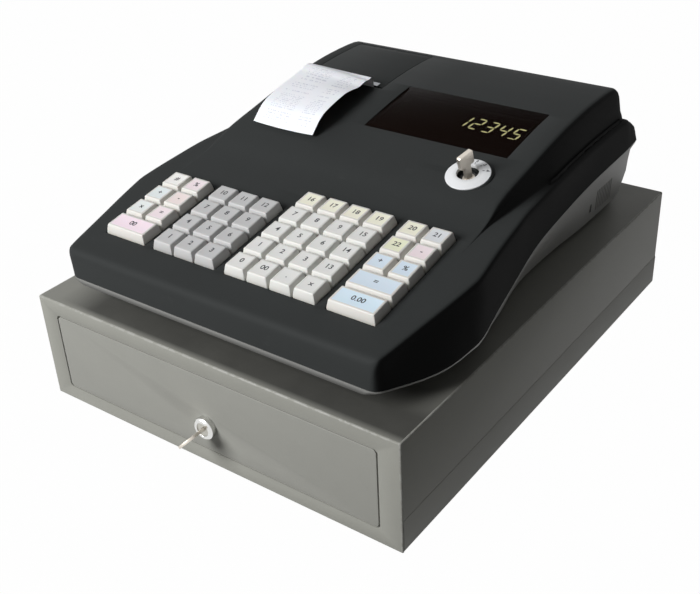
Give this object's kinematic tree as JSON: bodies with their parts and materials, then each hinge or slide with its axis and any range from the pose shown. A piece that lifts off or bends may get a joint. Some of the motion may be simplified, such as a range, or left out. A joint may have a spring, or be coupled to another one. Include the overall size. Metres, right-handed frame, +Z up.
{
  "type": "electronic cash register",
  "caption": "Cash register with a sloping keyboard, raised housing with display, mode key and receipt printer, on a steel cash drawer that slides open on rollers.",
  "frame": {"origin": "on the floor plane under the feet, under the middle of the whole from the drawer key's bow to the drawer's back", "axes": "+X to the right seen from the front, +Y from the front to the back, +Z up"},
  "size_m": [0.312, 0.41, 0.1891],
  "materials": {
    "case_paint": "satin",
    "front_paint": "satin",
    "rubber_black": "matte",
    "zinc": "zinc plated",
    "roller_plastic": "smooth",
    "till_plastic": "fine grain",
    "clip_metal": "satin",
    "chrome": "polished",
    "lock_brass": "nickel washed",
    "key_metal": "worn",
    "solenoid_metal": "plated",
    "spring_steel": "plain",
    "base_plastic": "fine grain",
    "cover_plastic": "fine grain",
    "screw_metal": "zinc plated",
    "board_dark": "plain",
    "circuit_board": "solder mask",
    "printer_plastic": "plain",
    "head_metal": "plain",
    "platen_rubber": "matte",
    "paper": "thermal paper",
    "window_glass": "smoked",
    "ring_white": "satin",
    "lock_black": "plain",
    "gland_plastic": "plain",
    "key_cream": "satin",
    "key_pink": "satin",
    "key_cyan": "satin",
    "key_peach": "satin",
    "key_mint": "satin",
    "key_lilac": "satin",
    "key_grey": "satin",
    "key_white": "satin",
    "key_yellow": "satin",
    "key_bluewhite": "satin",
    "key_green": "satin",
    "key_blue": "satin",
    "key_sky": "satin"
  },
  "bodies": {
    "case": {"drawer_case": "case_paint", "drawer_pan": "case_paint", "rubber_feet": "rubber_black", "slide_rails": "zinc", "latch_solenoid": "solenoid_metal", "ejector_spring": "spring_steel", "base_pan": "base_plastic", "top_cover": "cover_plastic", "case_screws": "screw_metal", "keyboard_plate": "board_dark", "key_board": "circuit_board", "main_board": "circuit_board", "transformer": "solenoid_metal", "printer_frame": "printer_plastic", "print_head": "head_metal", "feed_motor": "zinc", "receipt_paper": "paper", "display_window": "window_glass", "display_board": "circuit_board", "mode_plate": "ring_white", "mode_lock": "lock_black", "cord_gland": "gland_plastic"},
    "drawer": {"drawer_front": "front_paint", "drawer_tray": "zinc", "till_insert": "till_plastic", "drawer_lock": "chrome"},
    "drawer_plug": {"lock_plug": "lock_brass", "drawer_key": "key_metal"},
    "note_clips": {"bill_clips": "clip_metal"},
    "rail_rollers": {"case_rollers": "roller_plastic"},
    "runner_rollers": {"tray_rollers": "roller_plastic"},
    "latch": {"latch_lever": "zinc"},
    "plunger": {"solenoid_plunger": "zinc"},
    "platen": {"platen_roller": "platen_rubber"},
    "roll": {"paper_roll": "paper"},
    "lid": {"printer_cover": "cover_plastic"},
    "mode_plug": {"mode_key": "key_metal"},
    "key_a1": {"key_a1": "key_cream"},
    "key_a2": {"key_a2": "key_pink"},
    "key_a3": {"key_a3": "key_cyan"},
    "key_a4": {"key_a4": "key_peach"},
    "key_a5": {"key_a5": "key_mint"},
    "key_a6": {"key_a6": "key_pink"},
    "key_a7": {"key_a7": "key_lilac"},
    "key_b1": {"key_b1": "key_grey"},
    "key_b2": {"key_b2": "key_grey"},
    "key_b3": {"key_b3": "key_grey"},
    "key_c1": {"key_c1": "key_white"},
    "key_c2": {"key_c2": "key_white"},
    "key_c3": {"key_c3": "key_white"},
    "key_c4": {"key_c4": "key_white"},
    "key_c5": {"key_c5": "key_yellow"},
    "key_d1": {"key_d1": "key_yellow"},
    "key_d2": {"key_d2": "key_bluewhite"},
    "key_d3": {"key_d3": "key_green"},
    "key_d4": {"key_d4": "key_pink"},
    "key_d5": {"key_d5": "key_lilac"},
    "key_d6": {"key_d6": "key_blue"},
    "key_d7": {"key_d7": "key_blue"},
    "key_d8": {"key_d8": "key_sky"}
  },
  "joints": [
    {"name": "drawer_slide", "type": "slide", "parent": "case", "child": "drawer", "axis": [0, -1, 0], "range_m": [0, 0.27]},
    {"name": "drawer_key_turn", "type": "hinge", "parent": "drawer", "child": "drawer_plug", "pos_m": [0, -0.179, 0.0342], "axis": [0, -1, 0], "range_deg": [-45, 45]},
    {"name": "note_clip_lift", "type": "hinge", "parent": "drawer", "child": "note_clips", "pos_m": [0, 0.1446, 0.0547], "axis": [-1, 0, 0], "range_deg": [0, 40], "stiffness_Nm_per_rad": 0.05, "springref_deg": -28.65},
    {"name": "rail_roller_turn", "type": "hinge", "parent": "case", "child": "rail_rollers", "pos_m": [0, -0.156, 0.0252], "axis": [1, 0, 0], "continuous": true},
    {"name": "runner_roller_turn", "type": "hinge", "parent": "drawer", "child": "runner_rollers", "pos_m": [0, 0.151, 0.0497], "axis": [1, 0, 0], "continuous": true},
    {"name": "latch_turn", "type": "hinge", "parent": "case", "child": "latch", "pos_m": [0.074, 0.187, 0.0295], "axis": [0, 0, 1], "range_deg": [0, 12]},
    {"name": "plunger_slide", "type": "slide", "parent": "case", "child": "plunger", "axis": [1, 0, 0], "range_m": [0, 0.00197], "stiffness_N_per_m": 340, "springref_m": -0.002},
    {"name": "platen_turn", "type": "hinge", "parent": "case", "child": "platen", "pos_m": [-0.0747, 0.0827, 0.16306], "axis": [1, 0, 0], "continuous": true},
    {"name": "roll_turn", "type": "hinge", "parent": "case", "child": "roll", "pos_m": [-0.0747, 0.1333, 0.1243], "axis": [1, 0, 0], "continuous": true},
    {"name": "lid_open", "type": "hinge", "parent": "case", "child": "lid", "pos_m": [-0.0747, 0.1637, 0.17708], "axis": [-1, 0, 0], "range_deg": [0, 70]},
    {"name": "mode_key_turn", "type": "hinge", "parent": "case", "child": "mode_plug", "pos_m": [0.0876, 0.0101, 0.16312], "axis": [0, -0.2924, 0.9563], "range_deg": [-60, 60]},
    {"name": "key_a1_press", "type": "slide", "parent": "case", "child": "key_a1", "axis": [0, 0.163, -0.9866], "range_m": [0, 0.0035], "stiffness_N_per_m": 170, "springref_m": -0.001},
    {"name": "key_a2_press", "type": "slide", "parent": "case", "child": "key_a2", "axis": [0, 0.163, -0.9866], "range_m": [0, 0.0035], "stiffness_N_per_m": 170, "springref_m": -0.001},
    {"name": "key_a3_press", "type": "slide", "parent": "case", "child": "key_a3", "axis": [0, 0.163, -0.9866], "range_m": [0, 0.0035], "stiffness_N_per_m": 170, "springref_m": -0.001},
    {"name": "key_a4_press", "type": "slide", "parent": "case", "child": "key_a4", "axis": [0, 0.163, -0.9866], "range_m": [0, 0.0035], "stiffness_N_per_m": 170, "springref_m": -0.001},
    {"name": "key_a5_press", "type": "slide", "parent": "case", "child": "key_a5", "axis": [0, 0.163, -0.9866], "range_m": [0, 0.0035], "stiffness_N_per_m": 170, "springref_m": -0.001},
    {"name": "key_a6_press", "type": "slide", "parent": "case", "child": "key_a6", "axis": [0, 0.163, -0.9866], "range_m": [0, 0.0035], "stiffness_N_per_m": 170, "springref_m": -0.001},
    {"name": "key_a7_press", "type": "slide", "parent": "case", "child": "key_a7", "axis": [0, 0.163, -0.9866], "range_m": [0, 0.0035], "stiffness_N_per_m": 170, "springref_m": -0.001},
    {"name": "key_b1_press", "type": "slide", "parent": "case", "child": "key_b1", "axis": [0, 0.163, -0.9866], "range_m": [0, 0.0035], "stiffness_N_per_m": 170, "springref_m": -0.001},
    {"name": "key_b2_press", "type": "slide", "parent": "case", "child": "key_b2", "axis": [0, 0.163, -0.9866], "range_m": [0, 0.0035], "stiffness_N_per_m": 170, "springref_m": -0.001},
    {"name": "key_b3_press", "type": "slide", "parent": "case", "child": "key_b3", "axis": [0, 0.163, -0.9866], "range_m": [0, 0.0035], "stiffness_N_per_m": 170, "springref_m": -0.001},
    {"name": "key_c1_press", "type": "slide", "parent": "case", "child": "key_c1", "axis": [0, 0.163, -0.9866], "range_m": [0, 0.0035], "stiffness_N_per_m": 170, "springref_m": -0.001},
    {"name": "key_c2_press", "type": "slide", "parent": "case", "child": "key_c2", "axis": [0, 0.163, -0.9866], "range_m": [0, 0.0035], "stiffness_N_per_m": 170, "springref_m": -0.001},
    {"name": "key_c3_press", "type": "slide", "parent": "case", "child": "key_c3", "axis": [0, 0.163, -0.9866], "range_m": [0, 0.0035], "stiffness_N_per_m": 170, "springref_m": -0.001},
    {"name": "key_c4_press", "type": "slide", "parent": "case", "child": "key_c4", "axis": [0, 0.163, -0.9866], "range_m": [0, 0.0035], "stiffness_N_per_m": 170, "springref_m": -0.001},
    {"name": "key_c5_press", "type": "slide", "parent": "case", "child": "key_c5", "axis": [0, 0.163, -0.9866], "range_m": [0, 0.0035], "stiffness_N_per_m": 170, "springref_m": -0.001},
    {"name": "key_d1_press", "type": "slide", "parent": "case", "child": "key_d1", "axis": [0, 0.163, -0.9866], "range_m": [0, 0.0035], "stiffness_N_per_m": 170, "springref_m": -0.001},
    {"name": "key_d2_press", "type": "slide", "parent": "case", "child": "key_d2", "axis": [0, 0.163, -0.9866], "range_m": [0, 0.0035], "stiffness_N_per_m": 170, "springref_m": -0.001},
    {"name": "key_d3_press", "type": "slide", "parent": "case", "child": "key_d3", "axis": [0, 0.163, -0.9866], "range_m": [0, 0.0035], "stiffness_N_per_m": 170, "springref_m": -0.001},
    {"name": "key_d4_press", "type": "slide", "parent": "case", "child": "key_d4", "axis": [0, 0.163, -0.9866], "range_m": [0, 0.0035], "stiffness_N_per_m": 170, "springref_m": -0.001},
    {"name": "key_d5_press", "type": "slide", "parent": "case", "child": "key_d5", "axis": [0, 0.163, -0.9866], "range_m": [0, 0.0035], "stiffness_N_per_m": 170, "springref_m": -0.001},
    {"name": "key_d6_press", "type": "slide", "parent": "case", "child": "key_d6", "axis": [0, 0.163, -0.9866], "range_m": [0, 0.0035], "stiffness_N_per_m": 170, "springref_m": -0.001},
    {"name": "key_d7_press", "type": "slide", "parent": "case", "child": "key_d7", "axis": [0, 0.163, -0.9866], "range_m": [0, 0.0035], "stiffness_N_per_m": 170, "springref_m": -0.001},
    {"name": "key_d8_press", "type": "slide", "parent": "case", "child": "key_d8", "axis": [0, 0.163, -0.9866], "range_m": [0, 0.0035], "stiffness_N_per_m": 170, "springref_m": -0.001}
  ],
  "couplings": [
    {"joint": "rail_roller_turn", "follows": "drawer_slide", "rad_per_m": 125},
    {"joint": "runner_roller_turn", "follows": "drawer_slide", "rad_per_m": 100},
    {"joint": "latch_turn", "follows": "plunger_slide", "rad_per_m": 106.3},
    {"joint": "platen_turn", "follows": "roll_turn", "ratio": 3.5714}
  ]
}
